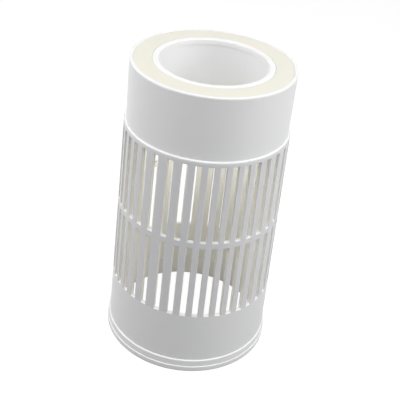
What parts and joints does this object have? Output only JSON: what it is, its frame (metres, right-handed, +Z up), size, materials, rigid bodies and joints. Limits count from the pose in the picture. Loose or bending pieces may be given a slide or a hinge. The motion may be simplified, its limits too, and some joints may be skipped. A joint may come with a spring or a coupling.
{
  "type": "air purifier",
  "caption": "White cylindrical table-top air purifier: open slotted intake cage on a base ring, fan head with round outlet and cream top ring.",
  "frame": {"origin": "centre of the footprint, on the surface that the base ring stands on", "axes": "+Z up along the axis of the cage and fan, +Y towards the rear with the socket and button"},
  "size_m": [0.1124, 0.1124, 0.2],
  "materials": {
    "white_shell": "satin moulded white",
    "white_gloss": "polished white",
    "cream_diffuser": "milky cream",
    "grey_foam": "closed-cell foam",
    "rubber_sleeve": "black rubber",
    "fan_plastic": "light grey moulded",
    "black_plastic": "black moulded",
    "zinc_screw": "zinc plated",
    "bright_steel": "drawn steel",
    "ferrite": "dark bonded magnet",
    "bearing_bronze": "sintered bronze",
    "copper_wire": "enamelled copper",
    "circuit_board": "green solder mask",
    "led_lens": "phosphor yellow"
  },
  "bodies": {
    "housing": {"base_ring": "white_shell", "cage": "white_shell", "collar": "white_shell", "filter_gasket": "grey_foam", "light_ring": "cream_diffuser", "outlet_ring": "white_gloss", "outlet_duct": "white_gloss", "fan_deck": "white_shell", "deck_screws": "zinc_screw", "fan_frame": "fan_plastic", "fan_mounts": "rubber_sleeve", "fan_screws": "zinc_screw", "inlet_guard": "white_shell", "outlet_guard": "white_shell", "upper_bearing": "bearing_bronze", "lower_bearing": "bearing_bronze", "stator_core": "bright_steel", "windings": "copper_wire", "motor_board": "circuit_board", "led_board": "circuit_board", "leds": "led_lens", "control_board": "circuit_board", "board_screws": "zinc_screw", "power_inlet": "bright_steel", "tact_switch": "black_plastic"},
    "rotor": {"impeller": "fan_plastic", "rotor_cup": "bright_steel", "magnet_ring": "ferrite", "fan_shaft": "bright_steel", "shaft_clip": "bright_steel"},
    "button": {"power_button": "white_gloss"}
  },
  "joints": [
    {"name": "fan_spin", "type": "hinge", "parent": "housing", "child": "rotor", "pos_m": [0, 0, 0.158], "axis": [0, 0, 1], "continuous": true},
    {"name": "button_press", "type": "slide", "parent": "housing", "child": "button", "axis": [0, -1, 0], "range_m": [0, 0.0006], "stiffness_N_per_m": 400}
  ]
}
